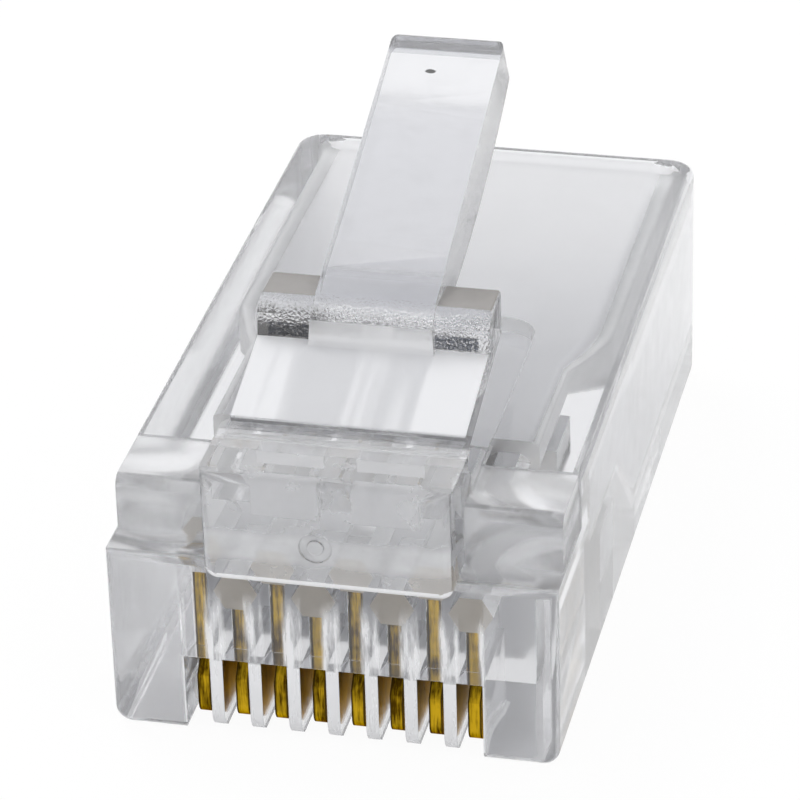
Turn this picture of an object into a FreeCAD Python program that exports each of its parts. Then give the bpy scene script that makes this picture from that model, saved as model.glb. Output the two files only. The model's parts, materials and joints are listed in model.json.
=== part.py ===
"""Clear eight-position modular plug, in millimetres.

X runs across the plug, Y from the contact end (the front face of the comb at y = 0) back to the
cable entry, and Z up from the flat underside, so that the latch is on top.
"""
import FreeCAD, Part
import math
import os

# Body
BODY_WIDTH = 11.68
BODY_LENGTH = 21.46
BODY_HEIGHT = 6.75
LONG_EDGE_RADIUS = 0.45
TOP_EDGE_RADIUS = 0.22
REAR_CORNER_RADIUS = 0.8
FACE_EDGE_RADIUS = 0.2

# Stepped front: the comb block reaches furthest forward, the shoulders stand back on it
COMB_BLOCK_HEIGHT = 5.15
SHOULDER_SETBACK = 1.1
SHOULDER_DEPTH = 2.15
SHOULDER_INSET = 0.06
SHOULDER_EDGE_RADIUS = 0.32

# Nose, which carries the root of the latch
NOSE_WIDTH = 6.5
NOSE_BOTTOM = 4.65
NOSE_PROUD = 0.14
NOSE_EDGE_RADIUS = 0.3
NOSE_CORNER_RADIUS = 0.4
EJECTOR_MARK_X = -0.28
EJECTOR_MARK_HEIGHT = 5.9
EJECTOR_MARK_RADIUS = 0.42
EJECTOR_MARK_DEPTH = 0.04
GATE_MARK_X = 0.42
GATE_MARK_Y = 0.7
GATE_MARK_RADIUS = 0.2
GATE_MARK_DEPTH = 0.08

# Two blind pockets that the tool for the gap under the latch leaves in the nose's back
NOSE_POCKET_WIDTH = 1.75
NOSE_POCKET_SPACING = 2.6
NOSE_POCKET_FRONT = 1.6
NOSE_POCKET_FLOOR = 6.1
NOSE_POCKET_ROOF = 7.02

# Relief pocket in the top face, under the latch
POCKET_END = 11.1
POCKET_DEPTH = 0.45
POCKET_CORNER_RADIUS = 0.9

# Contact blades and their slots
CONTACT_COUNT = 8
CONTACT_PITCH = 1.016
BLADE_THICKNESS = 0.35
BLADE_FRONT = 1.16
BLADE_LENGTH = 3.77
BLADE_BOTTOM = 0.05
BLADE_FOOT_FRONT = 0.55
BLADE_FOOT_HEIGHT = 1.3
BLADE_NECK_HEIGHT = 2.05
BLADE_NOSE_RADIUS = 0.45
BLADE_CLEARANCE = 0.03
TINE_COUNT = 3
TINE_HEIGHT = 1.15
TINE_WIDTH = 0.8
TINE_TIP_GAP = 0.05

# Comb: the open part of the slots, below and in front of the blades
COMB_OPEN_HEIGHT = 2.22
COMB_SLOT_WIDTH = 0.68
COMB_LIP_RADIUS = 0.12
COMB_FRONT_RADIUS = 0.6
FRONT_WALL = 1.1

# Staggered wire channels, hexagonal in section
CHANNEL_ACROSS_FLATS = 1.0
UPPER_ROW_HEIGHT = 4.92
LOWER_ROW_HEIGHT = 4.06
CHANNEL_END_WALL = 0.62

# Conductor chamber, funnel and cable cavity
CHAMBER_START = 5.35
CHAMBER_END = 9.3
CHAMBER_WIDTH = 8.7
CHAMBER_FLOOR = 3.35
CHAMBER_ROOF = 5.6
CAVITY_START = 11.3
CAVITY_WIDTH = 10.4
CAVITY_FLOOR = 1.0
CAVITY_ROOF = 5.85
CAVITY_CORNER_RADIUS = 0.7
ENTRY_FLARE = 0.25

# Conductor strain-relief bar, pushed up from the underside when the plug is crimped
WIRE_BAR_CENTRE = 7.6
WIRE_BAR_SLOT = 1.9
WIRE_BAR_LENGTH = 1.1
WIRE_BAR_RECESS = 0.5
WIRE_BAR_WEB = 0.4
WIRE_BAR_SIDE_WALL = 1.3
WIRE_BAR_END_GAP = 0.4

# Jacket strain-relief bar in its window in the underside
WINDOW_START = 12.5
WINDOW_LENGTH = 4.2
WINDOW_WIDTH = 7.2
JACKET_BAR_GAP = 0.4
JACKET_BAR_LENGTH = 2.7
JACKET_BAR_TAPER = 0.35
JACKET_BAR_RECESS = 0.1
JACKET_WEB = 0.25

# Latch, measured in its free position: its rises are over the nose's top
HINGE_Y = 2.1
KNUCKLE_RADIUS = 0.3
KNUCKLE_CLEARANCE = 0.03
NOSE_TOP = 7.85
RAMP_STEP = 0.14
RAMP_START = 2.48
RAMP_ANGLE = 14.5
CATCH_WIDTH = 6.1
CATCH_FOOT = 5.4
CATCH_SILL = 5.46
CATCH_SILL_RISE = 1.53
CATCH_BROW = 5.92
CATCH_CREST = 6.75
CATCH_CREST_RISE = 1.9
CATCH_HEEL = 7.1
CATCH_THICKNESS = 1.2
CATCH_EDGE_RADIUS = 0.1
BOSS_LEAD = 0.22
BOSS_SILL_RISE = 1.55
BOSS_BROW = 5.85
BOSS_BROW_RISE = 2.01
BOSS_RISE = 0.3
BOSS_DEPTH = 0.3
LEVER_WIDTH = 3.2
LEVER_TIP_WIDTH = 3.1
LEVER_DRAFT = 4.0
LEVER_ANGLE = 19.0
LEVER_TOP_END = 15.2
LEVER_THICKNESS = 1.12
LEVER_BELLY = 0.3
LEVER_BROW_RADIUS = 0.15
LEVER_HEEL_RADIUS = 0.35
LEVER_CORNER_RADIUS = 0.35

# How far a cutting shape runs past the surface that it breaks
OVERRUN = 0.5

HINGE_Z = NOSE_TOP - KNUCKLE_RADIUS - KNUCKLE_CLEARANCE
CATCH_CREST_HEIGHT = NOSE_TOP + CATCH_CREST_RISE
SHOULDER_END = SHOULDER_SETBACK + SHOULDER_DEPTH
POCKET_FLOOR = BODY_HEIGHT - POCKET_DEPTH
BLADE_END = BLADE_FRONT + BLADE_LENGTH
X_AXIS = FreeCAD.Vector(1, 0, 0)
Y_AXIS = FreeCAD.Vector(0, 1, 0)
Z_AXIS = FreeCAD.Vector(0, 0, 1)


def span_box(x_range, y_range, z_range):
    """A box between two values on each axis."""
    size = [top - low for low, top in (x_range, y_range, z_range)]
    return Part.makeBox(*size, FreeCAD.Vector(x_range[0], y_range[0], z_range[0]))


def wide_box(width, y_range, z_range):
    """A box centred on the plug's middle plane."""
    return span_box((-width / 2, width / 2), y_range, z_range)


def edges_near(shape, axis, value, axis_along=None):
    """Edges that lie wholly at one value of an axis, and if asked, run along another axis."""
    found = []
    for edge in shape.Edges:
        if any(abs(getattr(v.Point, axis) - value) > 1e-6 for v in edge.Vertexes):
            continue
        if abs(getattr(edge.CenterOfMass, axis) - value) > 1e-6:
            continue
        if axis_along and abs(edge.tangentAt(edge.FirstParameter).dot(axis_along)) < 0.999:
            continue
        found.append(edge)
    return found


def side_prism(outline, width):
    """A closed outline in the plane x = 0, extruded evenly to both sides."""
    face = Part.Face(Part.Wire(Part.__sortEdges__(outline)))
    face.translate(FreeCAD.Vector(-width / 2, 0, 0))
    return face.extrude(FreeCAD.Vector(width, 0, 0))


def side_point(y, z):
    """A point in the plane x = 0."""
    return FreeCAD.Vector(0, y, z)


def line_path(points, closed=False):
    """Straight edges through the points."""
    ends = points[1:] + points[:1] if closed else points[1:]
    return [Part.LineSegment(a, b).toShape() for a, b in zip(points, ends)]


def contact_x(index):
    """Middle plane of the contact with this index, counted from 0 at the -X side."""
    return (index - (CONTACT_COUNT - 1) / 2) * CONTACT_PITCH


def channel_height(index):
    """Centre height of the wire channel over a contact: the rows alternate."""
    return UPPER_ROW_HEIGHT if index % 2 == 0 else LOWER_ROW_HEIGHT


def tine_tip_height(index):
    """Height of the tine tips, just under the floor of their channel."""
    return channel_height(index) - CHANNEL_ACROSS_FLATS / 2 - TINE_TIP_GAP


def body_block():
    """Outer block with rounded long edges, cut down at the front to the comb block."""
    block = wide_box(BODY_WIDTH, (0, BODY_LENGTH), (0, BODY_HEIGHT))
    block = block.makeFillet(REAR_CORNER_RADIUS, edges_near(block, "y", BODY_LENGTH, Z_AXIS))
    block = block.makeFillet(LONG_EDGE_RADIUS, edges_near(block, "z", 0.0, Y_AXIS))
    upper = [e for e in edges_near(block, "z", BODY_HEIGHT) if e.CenterOfMass.y > 0]
    block = block.makeFillet(TOP_EDGE_RADIUS, upper)
    front = wide_box(BODY_WIDTH + 2 * OVERRUN, (-OVERRUN, SHOULDER_END),
                     (COMB_BLOCK_HEIGHT, BODY_HEIGHT + OVERRUN))
    block = block.cut(front)
    return block.makeFillet(FACE_EDGE_RADIUS, edges_near(block, "y", 0.0))


def shoulders():
    """Upper front of the body, inset a little from the body behind it."""
    block = wide_box(BODY_WIDTH - 2 * SHOULDER_INSET, (SHOULDER_SETBACK, SHOULDER_END + OVERRUN),
                     (COMB_BLOCK_HEIGHT - OVERRUN, BODY_HEIGHT - SHOULDER_INSET))
    upper = edges_near(block, "z", BODY_HEIGHT - SHOULDER_INSET, X_AXIS)
    front_upper = [e for e in upper if e.CenterOfMass.y < SHOULDER_END]
    return block.makeFillet(SHOULDER_EDGE_RADIUS, front_upper)


def nose():
    """Middle block at the front, a little proud of the comb block."""
    block = wide_box(NOSE_WIDTH, (-NOSE_PROUD, HINGE_Y), (NOSE_BOTTOM, NOSE_TOP))
    block = block.makeFillet(NOSE_CORNER_RADIUS, edges_near(block, "z", NOSE_BOTTOM, Y_AXIS))
    block = block.makeFillet(NOSE_EDGE_RADIUS, edges_near(block, "y", -NOSE_PROUD))
    seat = Part.makeCylinder(KNUCKLE_RADIUS + KNUCKLE_CLEARANCE, NOSE_WIDTH + 2 * OVERRUN,
                             FreeCAD.Vector(-NOSE_WIDTH / 2 - OVERRUN, HINGE_Y, HINGE_Z), X_AXIS)
    return block.cut(seat)


def nose_pocket(side):
    """Blind pocket in the nose's back, on the side given as -1 or 1."""
    x = side * NOSE_POCKET_SPACING / 2
    half = NOSE_POCKET_WIDTH / 2
    return span_box((x - half, x + half), (NOSE_POCKET_FRONT, HINGE_Y + OVERRUN),
                    (NOSE_POCKET_FLOOR, NOSE_POCKET_ROOF))


def nose_marks():
    """Ejector-pin ring on the nose's front face and the gate's dimple on its top."""
    centre = FreeCAD.Vector(EJECTOR_MARK_X, -NOSE_PROUD, EJECTOR_MARK_HEIGHT)
    pin = Part.makeCylinder(EJECTOR_MARK_RADIUS, EJECTOR_MARK_DEPTH, centre, Y_AXIS)
    pip = Part.makeCylinder(EJECTOR_MARK_RADIUS / 2, EJECTOR_MARK_DEPTH, centre, Y_AXIS)
    gate_foot = FreeCAD.Vector(GATE_MARK_X, GATE_MARK_Y, NOSE_TOP - GATE_MARK_DEPTH)
    gate = Part.makeCone(GATE_MARK_RADIUS / 2, GATE_MARK_RADIUS, GATE_MARK_DEPTH, gate_foot)
    return pin.cut(pip).fuse(gate)


def latch_pocket():
    """Relief in the top face that lets the latch go down."""
    block = wide_box(NOSE_WIDTH, (HINGE_Y, POCKET_END), (POCKET_FLOOR, BODY_HEIGHT + OVERRUN))
    return block.makeFillet(POCKET_CORNER_RADIUS, edges_near(block, "y", POCKET_END, Z_AXIS))


def comb_slot(index):
    """Slot for one blade: narrow round the blade, wider and open below and to the front."""
    x = contact_x(index)
    half = BLADE_THICKNESS / 2 + BLADE_CLEARANCE
    rear = BLADE_END + BLADE_CLEARANCE
    pocket = span_box((x - half, x + half), (FRONT_WALL, rear),
                      (-OVERRUN, channel_height(index)))
    return pocket.fuse(open_slot(x))


def open_slot(x):
    """Open part of a slot, with its mouth rounded on to the ribs."""
    half = COMB_SLOT_WIDTH / 2
    mouth = half + COMB_LIP_RADIUS
    turn = COMB_LIP_RADIUS * (1 - math.sqrt(0.5))

    def at(dx, z):
        return FreeCAD.Vector(x + dx, 0, z)

    corners = [at(mouth, 0), at(mouth, -OVERRUN), at(-mouth, -OVERRUN), at(-mouth, 0)]
    walls = [at(-half, COMB_LIP_RADIUS), at(-half, COMB_OPEN_HEIGHT),
             at(half, COMB_OPEN_HEIGHT), at(half, COMB_LIP_RADIUS)]
    left_lip = Part.Arc(corners[-1], at(-half - turn, turn), walls[0])
    right_lip = Part.Arc(walls[-1], at(half + turn, turn), corners[0])
    edges = line_path(corners) + [left_lip.toShape()] + line_path(walls) + [right_lip.toShape()]
    face = Part.Face(Part.Wire(edges))
    face.translate(FreeCAD.Vector(0, -NOSE_PROUD, 0))
    return face.extrude(FreeCAD.Vector(0, NOSE_PROUD + BLADE_END + BLADE_CLEARANCE, 0))


def comb_rounding():
    """What rounds the lower front edge off the comb's ribs, more than off the end blocks."""
    radius = COMB_FRONT_RADIUS
    turn = radius * (1 - math.sqrt(0.5))
    upper = side_point(0, radius)
    lower = side_point(radius, 0)
    arc = Part.Arc(upper, side_point(turn, turn), lower).toShape()
    outer = [lower, side_point(radius, -OVERRUN), side_point(-OVERRUN, -OVERRUN),
             side_point(-OVERRUN, radius), upper]
    width = (CONTACT_COUNT - 1) * CONTACT_PITCH + COMB_SLOT_WIDTH
    return side_prism(line_path(outer) + [arc], width)


def wire_channel(index):
    """Blind hexagonal channel over one blade, flat side up."""
    x = contact_x(index)
    radius = CHANNEL_ACROSS_FLATS / math.sqrt(3)
    behind_nose = abs(x) + radius < NOSE_WIDTH / 2
    low_row = channel_height(index) == LOWER_ROW_HEIGHT
    front = CHANNEL_END_WALL if behind_nose or low_row else SHOULDER_SETBACK + CHANNEL_END_WALL
    corners = []
    for step in range(6):
        turn = math.radians(60 * step)
        corners.append(FreeCAD.Vector(x + radius * math.cos(turn), front,
                                      channel_height(index) + radius * math.sin(turn)))
    face = Part.Face(Part.Wire(line_path(corners, closed=True)))
    return face.extrude(FreeCAD.Vector(0, CHAMBER_START + OVERRUN - front, 0))


def section(width, z_range, y, radius):
    """Rounded rectangle across the plug, as a wire for lofting."""
    plate = wide_box(width, (y, y + 1), z_range)
    plate = plate.makeFillet(radius, [e for e in plate.Edges
                                      if abs(e.tangentAt(e.FirstParameter).dot(Y_AXIS)) > 0.999])
    front = [f for f in plate.Faces if abs(f.CenterOfMass.y - y) < 1e-6]
    return front[0].OuterWire


def cable_cavity():
    """Conductor chamber, funnel and cable cavity, flared at the entry."""
    chamber_range = (CHAMBER_FLOOR, CHAMBER_ROOF)
    cavity_range = (CAVITY_FLOOR, CAVITY_ROOF)
    corner = CAVITY_CORNER_RADIUS
    chamber = Part.makeLoft([section(CHAMBER_WIDTH, chamber_range, CHAMBER_START, corner / 2),
                             section(CHAMBER_WIDTH, chamber_range, CHAMBER_END, corner / 2)],
                            True, True)
    funnel = Part.makeLoft([section(CHAMBER_WIDTH, chamber_range, CHAMBER_END, corner / 2),
                            section(CAVITY_WIDTH, cavity_range, CAVITY_START, corner)],
                           True, True)
    flare_start = BODY_LENGTH - 2 * ENTRY_FLARE
    mouth_range = (CAVITY_FLOOR - ENTRY_FLARE, CAVITY_ROOF + ENTRY_FLARE)
    cavity = Part.makeLoft([section(CAVITY_WIDTH, cavity_range, CAVITY_START, corner),
                            section(CAVITY_WIDTH, cavity_range, flare_start, corner)],
                           True, True)
    flare = Part.makeLoft([section(CAVITY_WIDTH, cavity_range, flare_start, corner),
                           section(CAVITY_WIDTH + 2 * ENTRY_FLARE, mouth_range, BODY_LENGTH,
                                   corner + ENTRY_FLARE)],
                          True, True)
    return chamber.fuse([funnel, cavity, flare])


def wire_bar():
    """Slot across the underside and the conductor bar that stands in it."""
    slot_range = (WIRE_BAR_CENTRE - WIRE_BAR_SLOT / 2, WIRE_BAR_CENTRE + WIRE_BAR_SLOT / 2)
    bar_range = (WIRE_BAR_CENTRE - WIRE_BAR_LENGTH / 2, WIRE_BAR_CENTRE + WIRE_BAR_LENGTH / 2)
    width = BODY_WIDTH - 2 * WIRE_BAR_SIDE_WALL
    ceiling = CHAMBER_FLOOR - WIRE_BAR_WEB
    slot = wide_box(width, slot_range, (-OVERRUN, ceiling))
    bar = wide_box(width - 2 * WIRE_BAR_END_GAP, bar_range,
                   (WIRE_BAR_RECESS, ceiling + WIRE_BAR_WEB / 2))
    return slot, bar


def jacket_bar():
    """Window in the underside and the wedge-shaped bar that hangs in it on thin webs."""
    end = WINDOW_START + WINDOW_LENGTH
    window = wide_box(WINDOW_WIDTH, (WINDOW_START, end), (-OVERRUN, CAVITY_FLOOR + OVERRUN))
    front = WINDOW_START + JACKET_BAR_GAP
    rear = front + JACKET_BAR_LENGTH
    low = JACKET_BAR_RECESS
    top = CAVITY_FLOOR
    outline = line_path([side_point(front, low), side_point(rear, low),
                         side_point(rear - 2 * JACKET_BAR_TAPER, top),
                         side_point(front + JACKET_BAR_TAPER, top)],
                        closed=True)
    bar = side_prism(outline, WINDOW_WIDTH - 2 * JACKET_BAR_GAP)
    rear_web = wide_box(WINDOW_WIDTH - 2 * JACKET_BAR_GAP, (rear - JACKET_WEB, end + JACKET_WEB),
                        (low, low + JACKET_WEB))
    end_web = wide_box(WINDOW_WIDTH + 2 * JACKET_WEB, (rear - 2 * JACKET_WEB, rear - JACKET_WEB),
                       (low, low + JACKET_WEB))
    return window, bar.fuse([rear_web, end_web])


def housing():
    """The moulded housing, without its flexing latch."""
    slot, conductor_bar = wire_bar()
    window, strain_bar = jacket_bar()
    solid = body_block().fuse([shoulders(), nose()])
    cuts = [latch_pocket(), cable_cavity(), slot, window, nose_marks(), comb_rounding()]
    cuts += [nose_pocket(side) for side in (-1, 1)]
    for index in range(CONTACT_COUNT):
        cuts += [comb_slot(index), wire_channel(index)]
    return solid.cut(cuts).fuse([conductor_bar, strain_bar]).removeSplitter()


def ramp_height(y):
    """Height of the latch's ramp at y."""
    start = NOSE_TOP + RAMP_STEP
    return start + (y - RAMP_START) * math.tan(math.radians(RAMP_ANGLE))


def lever_height(y):
    """Height of the lever's top face at y."""
    crest = CATCH_CREST_HEIGHT + BOSS_RISE
    return crest + (y - CATCH_CREST + BOSS_LEAD) * math.tan(math.radians(LEVER_ANGLE))


def catch():
    """Full-width part of the latch: round root, ramp and the two catch shoulders."""
    root_top = side_point(HINGE_Y, HINGE_Z + KNUCKLE_RADIUS)
    root_low = side_point(HINGE_Y, HINGE_Z - KNUCKLE_RADIUS)
    root_front = side_point(HINGE_Y - KNUCKLE_RADIUS, HINGE_Z)
    root = Part.Arc(root_low, root_front, root_top).toShape()
    outline = line_path([root_top, side_point(RAMP_START, root_top.z),
                         side_point(RAMP_START, ramp_height(RAMP_START)),
                         side_point(CATCH_FOOT, ramp_height(CATCH_FOOT)),
                         side_point(CATCH_SILL, NOSE_TOP + CATCH_SILL_RISE),
                         side_point(CATCH_BROW, CATCH_CREST_HEIGHT),
                         side_point(CATCH_HEEL, CATCH_CREST_HEIGHT),
                         side_point(CATCH_HEEL, CATCH_CREST_HEIGHT - CATCH_THICKNESS), root_low])
    block = side_prism(outline + [root], CATCH_WIDTH)
    block = block.makeFillet(CATCH_EDGE_RADIUS, edges_near(block, "y", CATCH_HEEL, Z_AXIS))
    return block.makeFillet(CATCH_EDGE_RADIUS, edges_near(block, "z", CATCH_CREST_HEIGHT, X_AXIS))


def lever_section(height, reach):
    """Lever outline from above, as a wire at a height over the lever's top face.

    The tip's end is the line y = 0 and the outline reaches this far back from it.
    """
    spread = -2 * height * math.tan(math.radians(LEVER_DRAFT))
    corners = [FreeCAD.Vector(side * (width + spread) / 2, y, height)
               for side, width, y in ((-1, LEVER_WIDTH, -reach), (1, LEVER_WIDTH, -reach),
                                      (1, LEVER_TIP_WIDTH, 0), (-1, LEVER_TIP_WIDTH, 0))]
    plate = Part.Face(Part.Wire(line_path(corners, closed=True))).extrude(Z_AXIS)
    plate = plate.makeFillet(LEVER_CORNER_RADIUS, edges_near(plate, "y", 0.0, Z_AXIS))
    bottom = [f for f in plate.Faces if abs(f.CenterOfMass.z - height) < 1e-6]
    return bottom[0].OuterWire


def lever_plan(tip, reach):
    """What bounds the lever sideways: drafted walls and round corners, square to its top face."""
    plan = Part.makeLoft([lever_section(-LEVER_THICKNESS - OVERRUN, reach),
                          lever_section(OVERRUN, reach)], True, True)
    plan.rotate(FreeCAD.Vector(), X_AXIS, LEVER_ANGLE)
    plan.translate(tip)
    return plan


def lever():
    """Narrow lever, which starts as a boss on the catch and ends square with rounded edges."""
    slope = math.radians(LEVER_ANGLE)
    drop = LEVER_THICKNESS / math.cos(slope)
    outward = side_point(-math.sin(slope), math.cos(slope))
    boss_top = side_point(CATCH_CREST - BOSS_LEAD, CATCH_CREST_HEIGHT + BOSS_RISE)
    boss_brow = side_point(BOSS_BROW, NOSE_TOP + BOSS_BROW_RISE)
    boss_sill = side_point(CATCH_SILL - BOSS_LEAD, NOSE_TOP + BOSS_SILL_RISE)
    boss_foot = side_point(CATCH_FOOT - BOSS_LEAD, ramp_height(CATCH_FOOT - BOSS_LEAD))
    inner = side_point(CATCH_FOOT, ramp_height(CATCH_FOOT) - BOSS_DEPTH)
    heel = side_point(CATCH_HEEL - CATCH_EDGE_RADIUS,
                      CATCH_CREST_HEIGHT - CATCH_THICKNESS + CATCH_EDGE_RADIUS)
    neck_y = CATCH_HEEL + LEVER_THICKNESS / 2
    neck = side_point(neck_y, lever_height(neck_y) - drop)
    top_end = side_point(LEVER_TOP_END, lever_height(LEVER_TOP_END))
    low_end = top_end - outward * LEVER_THICKNESS
    belly = (neck + low_end) / 2 - outward * LEVER_BELLY
    outline = line_path([low_end, top_end, boss_top, boss_brow, boss_sill, boss_foot, inner, heel,
                         neck])
    bar = side_prism(outline + [Part.Arc(neck, belly, low_end).toShape()], LEVER_WIDTH + OVERRUN)
    bar = bar.makeFillet(LEVER_BROW_RADIUS, edges_near(bar, "z", top_end.z, X_AXIS))
    bar = bar.makeFillet(LEVER_HEEL_RADIUS, edges_near(bar, "z", low_end.z, X_AXIS))
    return bar.common(lever_plan(top_end, (top_end - boss_foot).Length + OVERRUN))


def latch():
    """The flexing latch in its free position."""
    return catch().fuse(lever()).removeSplitter()


def contact(index):
    """Stamped blade with pointed tines over a plain foot whose front lower corner is round."""
    tip = tine_tip_height(index)
    root = tip - TINE_HEIGHT
    spacing = (BLADE_LENGTH - TINE_WIDTH) / (TINE_COUNT - 1)
    crown = []
    for tine in range(TINE_COUNT):
        start = BLADE_FRONT + tine * spacing
        lean = tine / (TINE_COUNT - 1)
        crown += [side_point(start, root), side_point(start + lean * TINE_WIDTH, tip),
                  side_point(start + TINE_WIDTH, root)]
    crown = crown[1:-1]
    turn = BLADE_NOSE_RADIUS * (1 - math.sqrt(0.5))
    nose_top = side_point(BLADE_FOOT_FRONT, BLADE_BOTTOM + BLADE_NOSE_RADIUS)
    nose_end = side_point(BLADE_FOOT_FRONT + BLADE_NOSE_RADIUS, BLADE_BOTTOM)
    nose_arc = Part.Arc(nose_end, side_point(BLADE_FOOT_FRONT + turn, BLADE_BOTTOM + turn), nose_top)
    front = [nose_top, side_point(BLADE_FOOT_FRONT, BLADE_FOOT_HEIGHT),
             side_point(BLADE_FRONT, BLADE_NECK_HEIGHT)]
    outline = line_path(front + crown + [side_point(BLADE_END, BLADE_BOTTOM), nose_end])
    blade = side_prism(outline + [nose_arc.toShape()], BLADE_THICKNESS)
    blade.translate(FreeCAD.Vector(contact_x(index), 0, 0))
    return blade


def main():
    """Build every piece and write it as parts/NODE.step."""
    pieces = {"housing": housing(), "latch": latch()}
    for index in range(CONTACT_COUNT):
        pieces[f"contact_{index + 1}"] = contact(index)
    os.makedirs("parts", exist_ok=True)
    for name, shape in pieces.items():
        solid = shape.Solids[0]
        print(name, len(shape.Solids), solid.isValid(), round(solid.Volume, 3))
        solid.exportStep(f"parts/{name}.step")


main()
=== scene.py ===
"""Looks of the clear modular plug: a moulding with a bending latch, and gold-plated blades."""
import json
import math

import bmesh
import bpy
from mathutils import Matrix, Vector


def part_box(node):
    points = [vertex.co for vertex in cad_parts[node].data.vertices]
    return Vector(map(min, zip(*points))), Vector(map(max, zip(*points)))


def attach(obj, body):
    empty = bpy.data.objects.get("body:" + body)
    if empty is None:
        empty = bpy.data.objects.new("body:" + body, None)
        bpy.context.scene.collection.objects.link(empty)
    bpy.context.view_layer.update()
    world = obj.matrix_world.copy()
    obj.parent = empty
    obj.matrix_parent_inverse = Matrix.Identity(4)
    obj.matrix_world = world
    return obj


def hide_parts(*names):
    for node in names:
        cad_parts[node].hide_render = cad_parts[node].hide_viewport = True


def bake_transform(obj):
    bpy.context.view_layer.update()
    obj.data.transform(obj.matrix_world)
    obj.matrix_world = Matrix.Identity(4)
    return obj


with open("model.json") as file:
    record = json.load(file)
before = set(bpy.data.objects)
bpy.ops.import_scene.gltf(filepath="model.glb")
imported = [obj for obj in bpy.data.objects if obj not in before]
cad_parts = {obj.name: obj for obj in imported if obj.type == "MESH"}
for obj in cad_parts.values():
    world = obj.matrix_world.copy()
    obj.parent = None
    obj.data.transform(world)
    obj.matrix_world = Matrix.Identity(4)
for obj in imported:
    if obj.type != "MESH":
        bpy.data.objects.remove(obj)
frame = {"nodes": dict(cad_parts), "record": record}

MM = 0.001

# What the frame says: the hinge, the moulding's two halves, and the contacts with their pitch
HINGE = Vector(frame["record"]["behaviour"]["joints"][0]["pos_m"])
HOUSING_LOW, HOUSING_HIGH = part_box("housing")
LATCH_LOW, LATCH_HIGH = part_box("latch")
CONTACTS = [name for name in frame["nodes"] if name.startswith("contact_")]
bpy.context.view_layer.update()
CONTACT_PITCH = (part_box(CONTACTS[1])[0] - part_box(CONTACTS[0])[0]).x

# The bridge that closes the running gap round the latch's root
BRIDGE_FRONT = 0.55 * MM
BRIDGE_BACK = 0.16 * MM
SKIN = 0.004 * MM

# The stretch of the root that bends
BEND_START = 0.0
BEND_LENGTH = 0.36 * MM
BEND_STEPS = 6

# How close two points are welded, how flat a face is merged, and where an edge counts as sharp
WELD_DISTANCE = 0.0005 * MM
SLICE_DISTANCE = 0.0002 * MM
FLAT_ANGLE = math.radians(0.2)
SHARP_ANGLE = math.radians(35)
EDGE_SOFTNESS = 0.05 * MM

# Plastic: its index, its tints as moulded, where one thickness is seen and under finishes, and the
# tints painted in as reflections on the channels' ends and the catch
PLASTIC_IOR = 1.585
WATER_CLEAR = (0.935, 0.94, 0.962)
THIN_CLEAR = (0.965, 0.968, 0.985)
LEVER_TINT = (0.80, 0.805, 0.835)
LEVER_GLINT_DARK = (0.42, 0.42, 0.44)
RAMP_TINT = (0.81, 0.815, 0.835)
# painted reflection: a warm tint that stands in for the gold blades' light on the channels' ends
CHANNEL_GOLD_REFLECTION_TINT = (0.78, 0.72, 0.63)
# painted reflection: a dark grey on the catch's tops that stands in for dark surroundings mirrored
# there
CATCH_TOP_DARK_REFLECTION = (0.30, 0.285, 0.27)
# painted reflection: the dark that stands in for dark surroundings mirrored in the catch's scored
# shoulders
SHOULDER_DARK_REFLECTION = (0.03, 0.035, 0.05)
SPECK_TINT = (0.02, 0.02, 0.02)

# Gold: in its streaks, in the shade painted along its edges, and at a grazing look
GOLD_DARK = (0.07, 0.035, 0.001)
GOLD_BRIGHT = (0.60, 0.38, 0.015)
# painted shade: the dark along the edges of the blades' front faces
GOLD_EDGE_SHADE = (0.05, 0.03, 0.006)
GOLD_GRAZING = (0.52, 0.38, 0.09)

# How high and how far out the ribs' fronts are matt, and how softly that ends
RIB_MATT_TOP = 2.25 * MM
RIB_MATT_FADE = 0.1 * MM
RIB_MATT_REACH = 3.9 * MM

# Where the drag marks between the blades fade out, in height and in pitches from a blade's middle
VEIL_LOW = 3.4 * MM
VEIL_TOP = 4.5 * MM
VEIL_INNER = 0.2
VEIL_OUTER = 0.32

# The cloud across the nose's front
NOSE_HAZE_LOW = 5.55 * MM
NOSE_HAZE_HIGH = 6.0 * MM
NOSE_HAZE_EDGE = 0.3 * MM

# Where a painted dark reflection darkens the catch's shoulders, and the dark speck near the lever's
# tip
DARK_BAND_LOW = 8.86 * MM
DARK_BAND_HIGH = 9.2 * MM
DARK_BAND_EDGE = 0.04 * MM
DARK_BAND_REACH = 2.8 * MM
SPECK = (-0.24 * MM, 13.85 * MM, 12.57 * MM)
SPECK_SIZE = 0.15 * MM

# Planes, in millimetres, that tell the moulding's faces apart. Front and back are along Y
LATCH_LOW_MM = 7.9
LEVER_FRONT = 7.2
CATCH_LOW = 8.5
CATCH_TOP_LOW = 9.6
CATCH_INNER = 1.7
CATCH_TOP_INNER = 1.55
LATCH_SIDE_FRONT = 5.0
RAMP_FRONT = 2.6
RAMP_BACK = 5.5
NOSE_HALF_WIDTH = 3.3
NOSE_FACE_BACK = 0.2
NOSE_TOP_LOW = 7.7
NOSE_TOP_BACK = 1.7
NOSE_LIP_LOW = 4.6
NOSE_LIP_HIGH = 4.97
NOSE_POCKET_FRONT = 1.2
NOSE_POCKET_BACK = 3.0
NOSE_POCKET_LOW = 6.0
NOSE_POCKET_HALF_WIDTH = 3.0
NOSE_WINDOW_BACK = 1.8
ROOT_FRONT = 1.6
COMB_FACE_BACK = 0.6
COMB_HALF_WIDTH = 4.4
COMB_TOP = 5.6
COMB_FRONT = 0.1
COMB_BACK = 5.2
SLOT_TOP = 2.21
SLOT_WALL_TOP = 2.3
CHANNEL_LOW = 3.3
CHANNEL_FRONT = 0.3
CHANNEL_BACK = 2.0
SHORT_CHANNEL_TOP = 4.4
FRONT_WALL_BACK = 1.1
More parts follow.
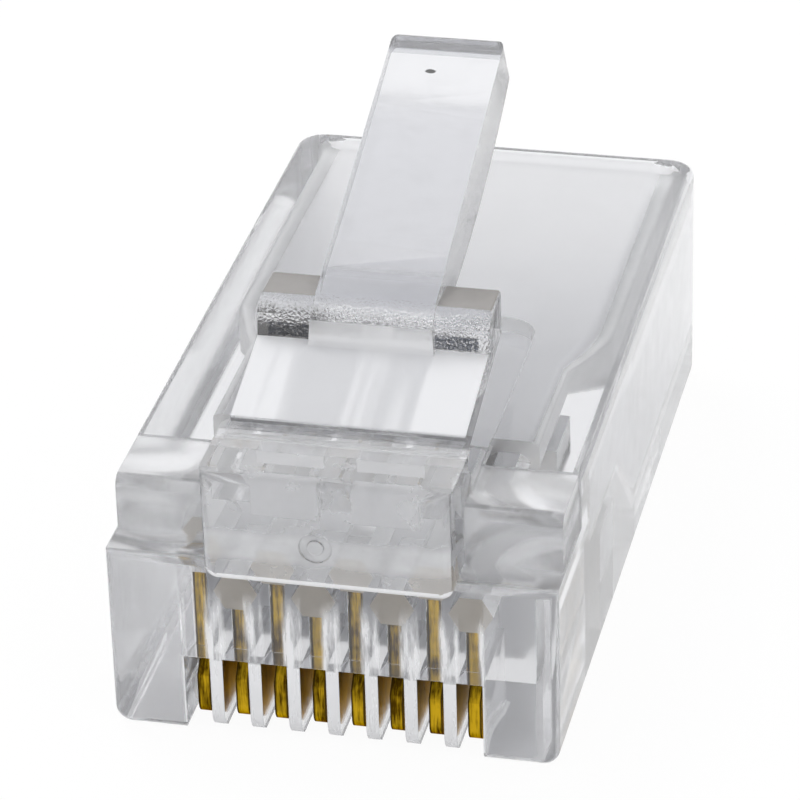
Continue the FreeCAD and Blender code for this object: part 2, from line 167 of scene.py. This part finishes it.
FRONT_WALL_MARGIN = 0.05
CAVITY_HALF_WIDTH = 5.6
CAVITY_LOW = 0.3
CAVITY_HIGH = 6.2
CAVITY_BACK = 21.4
BLOCK_BACK = 3.3
BLOCK_TOP = 7.0
SIDE_PLANE = 5.5

# How much of a face's normal lies along an axis
SQUARE = 0.9
NEARLY_SQUARE = 0.7
HALF_TURNED = 0.5
LEANING = 0.3
SLOPING = 0.2

# The floor: a hair below the plug, so that no faces coincide, and how much of its white is its own
FLOOR_SIZE = 0.6
FLOOR_GAP = 0.02 * MM
DIRECT_GLOW = 0.95
THROUGH_GLOW = 0.82


# ---------------------------------------------------------------- node helpers
def new_material(name):
    """A node material with its Principled shader."""
    material = bpy.data.materials.new(name)
    material.use_nodes = True
    return material, material.node_tree, material.node_tree.nodes["Principled BSDF"]


def add_node(tree, kind, inputs=None, **settings):
    """Add a node, with settings on it and values or links on its inputs."""
    node = tree.nodes.new(kind)
    for key, value in settings.items():
        setattr(node, key, value)
    for key, value in (inputs or {}).items():
        if isinstance(value, bpy.types.NodeSocket):
            tree.links.new(value, node.inputs[key])
        else:
            node.inputs[key].default_value = value
    return node


def math_node(tree, operation, *values, clamp=False):
    """The result of a math node on numbers or sockets."""
    node = add_node(tree, "ShaderNodeMath", dict(enumerate(values)), operation=operation)
    node.use_clamp = clamp
    return node.outputs[0]


def multiply(tree, first, second):
    """The product of two values."""
    return math_node(tree, "MULTIPLY", first, second)


def linear(tree, value, factor, start):
    """start, plus factor times the value."""
    return math_node(tree, "MULTIPLY_ADD", value, factor, start)


def rest_of_one(tree, value):
    """What the value leaves of 1."""
    return math_node(tree, "SUBTRACT", 1.0, value)


def larger(tree, first, second):
    """The larger of two values."""
    return math_node(tree, "MAXIMUM", first, second)


def step_up(tree, value, low, high):
    """0 below low, 1 above high, and smooth between."""
    node = add_node(tree, "ShaderNodeMapRange", {0: value, 1: low, 2: high},
                    interpolation_type="SMOOTHSTEP")
    return node.outputs[0]


def band(tree, value, low, high, edge):
    """1 between low and high, with soft edges, and 0 outside."""
    rise = step_up(tree, value, low - edge, low)
    fall = step_up(tree, value, high, high + edge)
    return math_node(tree, "SUBTRACT", rise, fall, clamp=True)


def noise(tree, where, scale, detail=3.0, roughness=0.55):
    """A noise texture's value."""
    node = add_node(tree, "ShaderNodeTexNoise",
                    {"Vector": where, "Scale": scale, "Detail": detail, "Roughness": roughness})
    return node.outputs[0]


def stretched(tree, where, scale):
    """Coordinates scaled along each axis, for textures that run one way."""
    return add_node(tree, "ShaderNodeMapping", {"Vector": where, "Scale": scale}).outputs[0]


def split_axes(tree, vector):
    """A vector's three parts."""
    return add_node(tree, "ShaderNodeSeparateXYZ", {0: vector}).outputs


def cell_offset(tree, where):
    """Distance across the plug from the middle plane of the nearest contact, in pitches."""
    x = split_axes(tree, where)[0]
    cell = math_node(tree, "FRACT", math_node(tree, "DIVIDE", x, CONTACT_PITCH))
    return math_node(tree, "ABSOLUTE", math_node(tree, "SUBTRACT", cell, 0.5))


def blend_colors(tree, factor, first, second):
    """A colour that goes from the first to the second as the factor goes from 0 to 1."""
    node = add_node(tree, "ShaderNodeMix", {"Factor": factor, 6: first, 7: second}, data_type="RGBA")
    return node.outputs[2]


def two_tone(tree, value, low, low_color, high, high_color):
    """A colour that goes from one tone to another as the value goes from low to high."""
    node = add_node(tree, "ShaderNodeValToRGB", {"Fac": value})
    first, second = node.color_ramp.elements
    first.position = low
    first.color = (*low_color, 1.0)
    second.position = high
    second.color = (*high_color, 1.0)
    return node.outputs[0]


def bump(tree, height, strength, distance, below=None):
    """Normals from a height, laid over other normals if they are given."""
    inputs = {"Height": height, "Strength": strength, "Distance": distance}
    if below is not None:
        inputs["Normal"] = below
    return add_node(tree, "ShaderNodeBump", inputs).outputs[0]


def soft_edges(tree):
    """Normals that turn smoothly over the moulding's small edges."""
    node = add_node(tree, "ShaderNodeBevel", {"Radius": EDGE_SOFTNESS}, samples=4)
    return node.outputs[0]


def wire(tree, shader, sources):
    """Link each source to the shader's input of that name."""
    for name, source in sources.items():
        tree.links.new(source, shader.inputs[name])


# ---------------------------------------------------------------- plastic
def plastic(name, transmission, tint=WATER_CLEAR):
    """The start of every plastic material: its sockets that are the same all over."""
    material, tree, shader = new_material(name)
    shader.inputs["Base Color"].default_value = (*tint, 1.0)
    shader.inputs["Transmission Weight"].default_value = transmission
    shader.inputs["IOR"].default_value = PLASTIC_IOR
    where = add_node(tree, "ShaderNodeTexCoord").outputs["Object"]
    return material, tree, shader, where


def clear_plastic():
    """Polished polycarbonate: clear and glossy, with faint moulding waves and handling smears."""
    material, tree, shader, where = plastic("clear_polycarbonate", 1.0)
    smear = noise(tree, where, scale=700.0, detail=2.0)
    waves = noise(tree, where, scale=180.0)
    wire(tree, shader, {"Roughness": linear(tree, multiply(tree, smear, smear), 0.15, 0.01),
                        "Normal": bump(tree, waves, 0.05, 0.02 * MM, soft_edges(tree))})
    return material


def hazed_plastic():
    """The moulding's inner walls, left slightly matt by the mould."""
    material, tree, shader, where = plastic("hazed_polycarbonate", 0.8)
    grain = noise(tree, where, scale=4000.0)
    wire(tree, shader, {"Roughness": linear(tree, noise(tree, where, scale=1500.0), 0.2, 0.35),
                        "Normal": bump(tree, grain, 0.2, 0.01 * MM)})
    return material


def milky_plastic(name, milk, rough_low, tint=WATER_CLEAR):
    """Faces that are polished but hazy underneath, more or less milky."""
    material, tree, shader, where = plastic(name, 1.0, tint)
    haze = noise(tree, where, scale=1200.0)
    waves = noise(tree, where, scale=1500.0)
    wire(tree, shader, {"Transmission Weight": rest_of_one(tree, linear(tree, haze, 0.2, milk)),
                        "Roughness": linear(tree, haze, 0.08, rough_low),
                        "Normal": bump(tree, waves, 0.2, 0.02 * MM, soft_edges(tree))})
    return material


def nose_front():
    """The nose's polished front: clear below and above, with a faint cloud across the middle."""
    material, tree, shader, where = plastic("nose_front", 1.0)
    z = split_axes(tree, where)[2]
    cloud = multiply(tree, band(tree, z, NOSE_HAZE_LOW, NOSE_HAZE_HIGH, NOSE_HAZE_EDGE), 0.12)
    milk = linear(tree, noise(tree, where, scale=1200.0), 0.2, cloud)
    waves = noise(tree, where, scale=600.0)
    wire(tree, shader, {"Transmission Weight": math_node(tree, "SUBTRACT", 0.85, milk),
                        "Roughness": linear(tree, cloud, 0.3, 0.04),
                        "Normal": bump(tree, waves, 0.06, 0.02 * MM, soft_edges(tree))})
    return material


def comb_front():
    """The comb's front: matt on the ribs' ends, drag marks between the blades, clear over them."""
    material, tree, shader, where = plastic("comb_front", 1.0)
    x, _, z = split_axes(tree, where)
    above = step_up(tree, z, RIB_MATT_TOP - RIB_MATT_FADE, RIB_MATT_TOP)
    beside = step_up(tree, math_node(tree, "ABSOLUTE", x), RIB_MATT_REACH,
                     RIB_MATT_REACH + RIB_MATT_FADE)
    matt = rest_of_one(tree, larger(tree, above, beside))
    faded = larger(tree, step_up(tree, z, VEIL_LOW, VEIL_TOP), beside)
    between = multiply(tree, step_up(tree, cell_offset(tree, where), VEIL_INNER, VEIL_OUTER),
                       rest_of_one(tree, faded))
    streaks = noise(tree, stretched(tree, where, (1.0, 1.0, 0.12)), scale=5000.0, detail=4.0)
    veil = multiply(tree, between, step_up(tree, streaks, 0.35, 0.65))
    milk = larger(tree, multiply(tree, matt, 0.65), multiply(tree, veil, 0.7))
    hazed = linear(tree, larger(tree, between, beside), -0.16, 1.0)
    wire(tree, shader, {"Transmission Weight": math_node(tree, "SUBTRACT", hazed, milk, clamp=True),
                        "Roughness": linear(tree, multiply(tree, milk, streaks), 0.9, 0.02),
                        "Normal": bump(tree, streaks, 0.15, 0.01 * MM, soft_edges(tree))})
    return material


def rib_side():
    """The comb slots' walls: nearly polished, with upright drag lines from the mould's blades."""
    material, tree, shader, where = plastic("rib_side", 1.0)
    drag = noise(tree, stretched(tree, where, (1.0, 1.0, 0.1)), scale=7000.0)
    wire(tree, shader, {"Roughness": multiply(tree, drag, 0.08),
                        "Normal": bump(tree, drag, 0.1, 0.01 * MM)})
    return material


def channel_end():
    """The wire channels' blind ends, spark-eroded and so matt, with a warm greyish tint painted in as
    the gold blades' reflected light.
    """
    # the warm tint is a painted reflection of the gold blades' light
    material, tree, shader, where = plastic("channel_end", 0.3, CHANNEL_GOLD_REFLECTION_TINT)
    grain = noise(tree, where, scale=6000.0, detail=4.0, roughness=0.6)
    wire(tree, shader, {"Roughness": linear(tree, grain, 0.3, 0.4),
                        "Normal": bump(tree, grain, 0.4, 0.02 * MM)})
    return material


def ramp_plastic():
    """The latch's ramp, with soft milky flow lines that run from its front to the catch."""
    material, tree, shader, where = plastic("ramp_polycarbonate", 1.0, RAMP_TINT)
    flow = noise(tree, stretched(tree, where, (1.0, 0.08, 0.08)), scale=900.0, detail=2.0)
    milk = step_up(tree, flow, 0.42, 0.58)
    wire(tree, shader, {"Transmission Weight": linear(tree, milk, -0.35, 0.55),
                        "Roughness": linear(tree, flow, 0.12, 0.24),
                        "Normal": soft_edges(tree)})
    return material


def scores(tree, where, strength):
    """Crossing scratches and grain: their height, and the bump that they make."""
    cells = add_node(tree, "ShaderNodeTexVoronoi", {"Vector": where, "Scale": 9000.0},
                     feature="DISTANCE_TO_EDGE").outputs["Distance"]
    grain = noise(tree, where, scale=12000.0, detail=4.0, roughness=0.7)
    facets = bump(tree, cells, strength, 0.03 * MM)
    return grain, bump(tree, grain, 0.6 * strength, 0.02 * MM, facets)


def scored_plastic():
    """The brow of the latch's boss, scored by the cutter that made the mould."""
    material, tree, shader, where = plastic("scored_polycarbonate", 1.0)
    grain, scored = scores(tree, where, 0.8)
    wire(tree, shader, {"Roughness": linear(tree, grain, 0.3, 0.0), "Normal": scored})
    return material


def catch_plastic():
    """The catch's steep shoulders: scored, and painted dark in the scores along a band, as a
    reflection of dark surroundings.
    """
    material, tree, shader, where = plastic("catch_polycarbonate", 1.0)
    grain, scored = scores(tree, where, 1.0)
    x, _, z = split_axes(tree, where)
    wavy = linear(tree, grain, 0.12 * MM, z)
    rows = band(tree, wavy, DARK_BAND_LOW, DARK_BAND_HIGH, DARK_BAND_EDGE)
    outside = step_up(tree, math_node(tree, "ABSOLUTE", x), DARK_BAND_REACH - DARK_BAND_EDGE,
                      DARK_BAND_REACH)
    stripe = math_node(tree, "SUBTRACT", rows, outside, clamp=True)
    # painted dark reflection, laid into the shoulders' scores along a band
    dark = multiply(tree, stripe, step_up(tree, grain, 0.38, 0.5))
    wire(tree, shader, {"Base Color": blend_colors(tree, dark, (*WATER_CLEAR, 1.0), (*SHOULDER_DARK_REFLECTION, 1.0)),
                        "Roughness": linear(tree, grain, 0.3, 0.0), "Normal": scored})
    return material


def lever_side():
    """The latch's cut sides: fine bright and dark glints that run along it."""
    material, tree, shader, where = plastic("lever_side", 1.0, THIN_CLEAR)
    scored = scores(tree, where, 0.6)[1]
    glint = noise(tree, stretched(tree, where, (1.0, 0.25, 1.0)), scale=20000.0, roughness=0.7)
    wire(tree, shader, {"Base Color": two_tone(tree, glint, 0.38, LEVER_GLINT_DARK, 0.52, THIN_CLEAR),
                        "Transmission Weight": linear(tree, glint, -0.4, 1.0),
                        "Roughness": multiply(tree, glint, 0.3), "Normal": scored})
    return material


def lever_top():
    """The lever's polished top, with one dark speck caught under it near the tip."""
    material, tree, shader, where = plastic("lever_top", 0.9)
    offset = add_node(tree, "ShaderNodeVectorMath", {0: where, 1: SPECK}, operation="SUBTRACT")
    drawn = stretched(tree, offset.outputs[0], (1.0, 1.8, 1.8))
    length = add_node(tree, "ShaderNodeVectorMath", {0: drawn}, operation="LENGTH").outputs["Value"]
    ragged = linear(tree, noise(tree, where, scale=9000.0), 0.06 * MM, length)
    speck = rest_of_one(tree, step_up(tree, ragged, SPECK_SIZE, 1.4 * SPECK_SIZE))
    smear = noise(tree, where, scale=700.0, detail=2.0)
    tint = blend_colors(tree, speck, (*LEVER_TINT, 1.0), (*SPECK_TINT, 1.0))
    wire(tree, shader, {"Base Color": tint, "Roughness": linear(tree, smear, 0.05, 0.0),
                        "Normal": soft_edges(tree)})
    return material


def build_finishes():
    """Every finish of the plastic, by the kind of face that has it."""
    return {"clear": clear_plastic(), "hazed": hazed_plastic(), "comb_front": comb_front(),
            "nose": nose_front(),
            "outer_side": milky_plastic("outer_sides", 0.0, 0.12),
            "block": milky_plastic("front_blocks", 0.12, 0.2),
            "end_block": milky_plastic("end_blocks", 0.05, 0.05),
            "nose_top": milky_plastic("nose_top", 0.15, 0.01),
            "lever_under": milky_plastic("lever_underside", -0.1, 0.12, THIN_CLEAR),
            # the catch's tops get a dark grey painted in as a reflection
            "catch_top": milky_plastic("catch_top", 0.55, 0.2, CATCH_TOP_DARK_REFLECTION),
            "lever_side": lever_side(),
            "root": milky_plastic("latch_root", 0.0, 0.15),
            "frosted": milky_plastic("frosted_polycarbonate", 0.75, 0.4),
            "scored": scored_plastic(), "catch": catch_plastic(), "ramp": ramp_plastic(),
            "lever_top": lever_top(), "rib_side": rib_side(), "channel_end": channel_end()}


# ---------------------------------------------------------------- gold and floor
def gold_plate():
    """Thin gold over stamped bronze: drawn streaks, greasy smudges, and painted shade along the
    blades' edges.
    """
    material, tree, shader = new_material("gold_plate")
    where = add_node(tree, "ShaderNodeTexCoord").outputs["Object"]
    drawn = stretched(tree, where, (4.0, 1.0, 0.3))
    grain = noise(tree, drawn, scale=3500.0, detail=4.0, roughness=0.65)
    blotch = noise(tree, where, scale=900.0, roughness=0.6)
    tone = linear(tree, grain, 0.5, multiply(tree, blotch, 0.5))
    tint = two_tone(tree, tone, 0.42, GOLD_DARK, 0.58, GOLD_BRIGHT)
    facing = add_node(tree, "ShaderNodeNewGeometry").outputs["True Normal"]
    sideways = math_node(tree, "ABSOLUTE", split_axes(tree, facing)[0])
    # painted shade along the edges of the blades' front faces
    edge = multiply(tree, step_up(tree, cell_offset(tree, where), 0.11, 0.15),
                    rest_of_one(tree, step_up(tree, sideways, 0.4, 0.6)))
    wire(tree, shader, {"Base Color": blend_colors(tree, edge, tint, (*GOLD_EDGE_SHADE, 1.0)),
                        "Roughness": linear(tree, grain, 0.35, 0.15),
                        "Normal": bump(tree, grain, 0.35, 0.01 * MM)})
    shader.inputs["Metallic"].default_value = 1.0
    shader.inputs["Specular Tint"].default_value = (*GOLD_GRAZING, 1.0)
    return material


def white_floor():
    """White sweep that keeps a faint shadow of the plug."""
    material, tree, shader = new_material("white_floor")
    shader.inputs["Base Color"].default_value = (0.9, 0.9, 0.9, 1.0)
    shader.inputs["Roughness"].default_value = 0.9
    glow = add_node(tree, "ShaderNodeEmission", {"Color": (1.0, 1.0, 1.0, 1.0), "Strength": 1.0})
    seen = add_node(tree, "ShaderNodeLightPath").outputs
    through = larger(tree, seen["Is Glossy Ray"], seen["Is Transmission Ray"])
    share = larger(tree, multiply(tree, through, THROUGH_GLOW),
                   multiply(tree, seen["Is Camera Ray"], DIRECT_GLOW))
    mix = add_node(tree, "ShaderNodeMixShader", {0: share, 1: shader.outputs[0], 2: glow.outputs[0]})
    tree.links.new(mix.outputs[0], tree.nodes["Material Output"].inputs["Surface"])
    return material


# ---------------------------------------------------------------- moulding
def box_mesh(name, low, high):
    """A plain box between two corners, for cutting and joining."""
    mesh = bpy.data.meshes.new(name)
    shape = bmesh.new()
    bmesh.ops.create_cube(shape, size=1.0)
    middle = (low + high) / 2
    for vertex in shape.verts:
        vertex.co = middle + Vector(a * b for a, b in zip(vertex.co, high - low))
    shape.to_mesh(mesh)
    shape.free()
    return link(bpy.data.objects.new(name, mesh))


def link(item):
    """Put an object into the scene."""
    bpy.context.scene.collection.objects.link(item)
    return item


def copy_node(name):
    """A free copy of a CAD node, with doubled points welded."""
    item = link(bpy.data.objects.new(name + "_copy", frame["nodes"][name].data.copy()))
    shape = bmesh.new()
    shape.from_mesh(item.data)
    bmesh.ops.remove_doubles(shape, verts=shape.verts, dist=WELD_DISTANCE)
    shape.to_mesh(item.data)
    shape.free()
    return item


def set_single_material(item, material):
    """Give every face of an object this one material."""
    item.data.materials.clear()
    item.data.materials.append(material)
    for polygon in item.data.polygons:
        polygon.material_index = 0


def apply_modifiers(item):
    """Make what the object's modifiers give its own mesh."""
    bpy.context.view_layer.update()
    graph = bpy.context.evaluated_depsgraph_get()
    result = bpy.data.meshes.new_from_object(item.evaluated_get(graph))
    item.modifiers.clear()
    item.data = result


def union(target, other):
    """Join other into target as one closed skin, keeping each face's material."""
    boolean = target.modifiers.new("union", "BOOLEAN")
    boolean.operation = "UNION"
    boolean.solver = "EXACT"
    boolean.material_mode = "TRANSFER"
    boolean.object = other
    apply_modifiers(target)
    bpy.data.objects.remove(other)


def split_by_material(whole, name, keep_slot):
    """A copy of the object that has only the faces with this material slot."""
    part = link(bpy.data.objects.new(name, whole.data.copy()))
    shape = bmesh.new()
    shape.from_mesh(part.data)
    wrong = [face for face in shape.faces if face.material_index != keep_slot]
    bmesh.ops.delete(shape, geom=wrong, context="FACES")
    shape.to_mesh(part.data)
    shape.free()
    return part


def slice_root(latch):
    """Cut rings into the latch's root, so that it can bend smoothly."""
    shape = bmesh.new()
    shape.from_mesh(latch.data)
    for step in range(BEND_STEPS + 1):
        plane = Vector((0, HINGE.y + BEND_START + step * BEND_LENGTH / BEND_STEPS, 0))
        everything = list(shape.verts) + list(shape.edges) + list(shape.faces)
        bmesh.ops.bisect_plane(shape, geom=everything, plane_co=plane, plane_no=Vector((0, 1, 0)),
                               dist=SLICE_DISTANCE)
    shape.to_mesh(latch.data)
    shape.free()


def latch_kind(x, y, z, normal):
    """Which finish a face of the latch has."""
    if y > LEVER_FRONT:
        if abs(normal.x) > NEARLY_SQUARE:
            return "lever_side"
        if normal.z > SQUARE:
            return "lever_top"
        return "lever_under" if normal.z < -HALF_TURNED else "clear"
    if z > CATCH_LOW and normal.y < -LEANING:
        return "catch" if x > CATCH_INNER else "ramp" if normal.y < -SQUARE else "scored"
    if abs(normal.x) > NEARLY_SQUARE and y > LATCH_SIDE_FRONT:
        return "lever_side"
    if x > CATCH_TOP_INNER and normal.z > NEARLY_SQUARE and z > CATCH_TOP_LOW:
        return "catch_top"
    return "ramp" if normal.z > SQUARE and RAMP_FRONT < y < RAMP_BACK else "clear"


def nose_kind(x, y, z, normal):
    """Which finish a face of the nose has, or None if the face is elsewhere."""
    in_depth = NOSE_POCKET_FRONT < y < NOSE_POCKET_BACK
    if in_depth and x < NOSE_POCKET_HALF_WIDTH and z > NOSE_POCKET_LOW:
        if abs(normal.y) > SQUARE and y < NOSE_WINDOW_BACK:
            return "frosted"
        return "root" if z > NOSE_TOP_LOW or y > ROOT_FRONT else "clear"
    if x < NOSE_HALF_WIDTH and y < NOSE_TOP_BACK and z > NOSE_TOP_LOW:
        return "nose_top"
    lip = y < NOSE_FACE_BACK and x < NOSE_HALF_WIDTH and NOSE_LIP_LOW < z < NOSE_LIP_HIGH
    return "frosted" if lip and normal.z < -SLOPING else None


def inner_kind(x, y, z, normal):
    """Which finish a face of the cavity, the channels or the slots has, or None if elsewhere."""
    if x < CAVITY_HALF_WIDTH and CAVITY_LOW < z < CAVITY_HIGH and COMB_BACK < y < CAVITY_BACK:
        return "hazed"
    if not (x < COMB_HALF_WIDTH and z < COMB_TOP):
        return None
    at_front_wall = abs(y - FRONT_WALL_BACK) <= FRONT_WALL_MARGIN
    if z > CHANNEL_LOW and CHANNEL_FRONT < y < CHANNEL_BACK and abs(normal.y) > SQUARE:
        return "clear" if at_front_wall and z <= SHORT_CHANNEL_TOP else "channel_end"
    if not COMB_FRONT < y < COMB_BACK:
        return None
    if at_front_wall or SLOT_TOP < z < SHORT_CHANNEL_TOP:
        return "clear"
    return "rib_side" if z < SLOT_WALL_TOP else "hazed"


def outer_kind(x, y, z, normal):
    """Which finish a face of the housing's outside has."""
    if x < NOSE_HALF_WIDTH and y < NOSE_FACE_BACK and normal.y < -NEARLY_SQUARE:
        return "nose"
    if y < BLOCK_BACK and (normal.y < -NEARLY_SQUARE or x > NOSE_HALF_WIDTH and z < BLOCK_TOP):
        return "block"
    return "outer_side" if x > SIDE_PLANE and abs(normal.x) > NEARLY_SQUARE else "clear"


def surface_kind(middle, normal):
    """Which of the plastic's finishes a face has, from where it lies on the moulding."""
    place = (abs(middle.x) / MM, middle.y / MM, middle.z / MM)
    x, y, z = place
    if z > LATCH_LOW_MM:
        return latch_kind(*place, normal)
    on_nose = nose_kind(*place, normal)
    if on_nose:
        return on_nose
    if y < COMB_FACE_BACK and normal.y < -NEARLY_SQUARE and z < NOSE_LIP_LOW:
        return "comb_front" if x < COMB_HALF_WIDTH else "end_block"
    return inner_kind(*place, normal) or outer_kind(*place, normal)


def finish_shell(item, finishes):
    """Flatten the flat faces' shading, keep round edges smooth, and give each face its finish."""
    shape = bmesh.new()
    shape.from_mesh(item.data)
    for face in shape.faces:
        face.material_index = 0
    bmesh.ops.dissolve_limit(shape, angle_limit=FLAT_ANGLE, verts=shape.verts, edges=shape.edges,
                             use_dissolve_boundaries=False, delimit=set())
    shape.to_mesh(item.data)
    shape.free()
    for polygon in item.data.polygons:
        polygon.use_smooth = True
    item.data.set_sharp_from_angle(angle=SHARP_ANGLE)
    weigh = item.modifiers.new("weigh", "WEIGHTED_NORMAL")
    weigh.mode = "FACE_AREA"
    weigh.weight = 100
    weigh.keep_sharp = True
    apply_modifiers(item)
    item.data.materials.clear()
    for finish in finishes.values():
        item.data.materials.append(finish)
    order = list(finishes)
    for polygon in item.data.polygons:
        polygon.material_index = order.index(surface_kind(polygon.center, polygon.normal))


def build_moulding(finishes):
    """One clear skin from the housing and the latch, split where the latch begins to bend."""
    housing = copy_node("housing")
    latch = copy_node("latch")
    first = bpy.data.materials.new("housing_side")
    second = bpy.data.materials.new("latch_side")
    set_single_material(housing, first)
    set_single_material(latch, second)
    low = Vector((LATCH_LOW.x + SKIN, HINGE.y - BRIDGE_FRONT, LATCH_LOW.z + SKIN))
    high = Vector((LATCH_HIGH.x - SKIN, HINGE.y + BRIDGE_BACK, HOUSING_HIGH.z - SKIN))
    bridge = box_mesh("bridge", low, high)
    set_single_material(bridge, second)
    union(latch, bridge)
    union(housing, latch)
    names = [slot.name for slot in housing.data.materials]
    shell = split_by_material(housing, "housing_moulding", names.index("housing_side"))
    arm = split_by_material(housing, "latch_moulding", names.index("latch_side"))
    bpy.data.objects.remove(housing)
    slice_root(arm)
    finish_shell(shell, finishes)
    finish_shell(arm, finishes)
    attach(shell, "housing")
    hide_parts("housing")
    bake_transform(arm)
    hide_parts("latch")


# ---------------------------------------------------------------- scene
def build_floor():
    """White floor under and behind the plug."""
    mesh = bpy.data.meshes.new("floor")
    low = HOUSING_LOW.z - FLOOR_GAP
    corners = [(-FLOOR_SIZE, -FLOOR_SIZE, low), (FLOOR_SIZE, -FLOOR_SIZE, low),
               (FLOOR_SIZE, FLOOR_SIZE, low), (-FLOOR_SIZE, FLOOR_SIZE, low)]
    mesh.from_pydata(corners, [], [(0, 1, 2, 3)])
    floor = link(bpy.data.objects.new("floor", mesh))
    floor.data.materials.append(white_floor())


def build_world():
    """Plain studio dome: white overhead and behind, greyer towards the viewer and the horizon."""
    world = bpy.data.worlds.new("studio")
    bpy.context.scene.world = world
    world.use_nodes = True
    tree = world.node_tree
    background = tree.nodes["Background"]
    where = add_node(tree, "ShaderNodeTexCoord").outputs["Generated"]
    _, depth, height = split_axes(tree, where)
    level = linear(tree, step_up(tree, height, -0.1, 0.75), 0.2, 0.66)
    level = linear(tree, step_up(tree, depth, -1.0, 0.3), 0.15, level)
    seen = add_node(tree, "ShaderNodeLightPath").outputs["Is Camera Ray"]
    tree.links.new(larger(tree, level, seen), background.inputs["Strength"])
    background.inputs["Color"].default_value = (1.0, 1.0, 1.0, 1.0)


def add_area_light(name, place, target, size, power):
    """A square lamp that faces a point."""
    data = bpy.data.lights.new(name, "AREA")
    data.size = size
    data.energy = power
    lamp = link(bpy.data.objects.new(name, data))
    lamp.location = place
    lamp.rotation_euler = (target - place).to_track_quat("-Z", "Y").to_euler()
    return lamp


def build_lamps():
    """Soft key from the upper left rear and a weaker fill from the right."""
    target = (HOUSING_LOW + HOUSING_HIGH) / 2
    for lamp in (add_area_light("key", target + Vector((-0.09, 0.07, 0.16)), target, 0.09, 0.12),
                 add_area_light("fill", target + Vector((0.14, -0.08, 0.1)), target, 0.08, 0.04)):
        lamp.visible_glossy = False
        lamp.visible_transmission = False


def build_camera():
    """Long lens from the front right, looking down on the latch."""
    azimuth = math.radians(13.7)
    elevation = math.radians(28.8)
    roll = math.radians(-1.77)
    distance = 0.115
    target = Vector((-0.0003, 0.008, 0.0067))
    back = Vector((math.sin(azimuth) * math.cos(elevation), -math.cos(azimuth) * math.cos(elevation),
                   math.sin(elevation)))
    data = bpy.data.cameras.new("camera")
    data.lens = 195.8
    data.sensor_width = 36.0
    data.shift_x = 0.0177
    data.shift_y = -0.0434
    data.clip_start = 0.005
    camera = link(bpy.data.objects.new("camera", data))
    camera.location = target + back * distance
    facing = (-back).to_track_quat("-Z", "Y").to_matrix()
    right = facing.col[0].copy()
    up = facing.col[1].copy()
    facing.col[0] = right * math.cos(roll) + up * math.sin(roll)
    facing.col[1] = up * math.cos(roll) - right * math.sin(roll)
    camera.rotation_euler = facing.to_euler()
    bpy.context.scene.camera = camera


def dress_contacts(material):
    """Gold on every contact."""
    for name in CONTACTS:
        node = frame["nodes"][name]
        node.data.materials.clear()
        node.data.materials.append(material)


def set_light_paths():
    """Enough bounces for light to find its way out of the clear walls."""
    cycles = bpy.context.scene.cycles
    cycles.max_bounces = 24
    cycles.transmission_bounces = 24
    cycles.glossy_bounces = 16


build_moulding(build_finishes())
dress_contacts(gold_plate())
build_floor()
build_world()
build_lamps()
build_camera()
set_light_paths()
bpy.context.scene.view_settings.view_transform = "Standard"
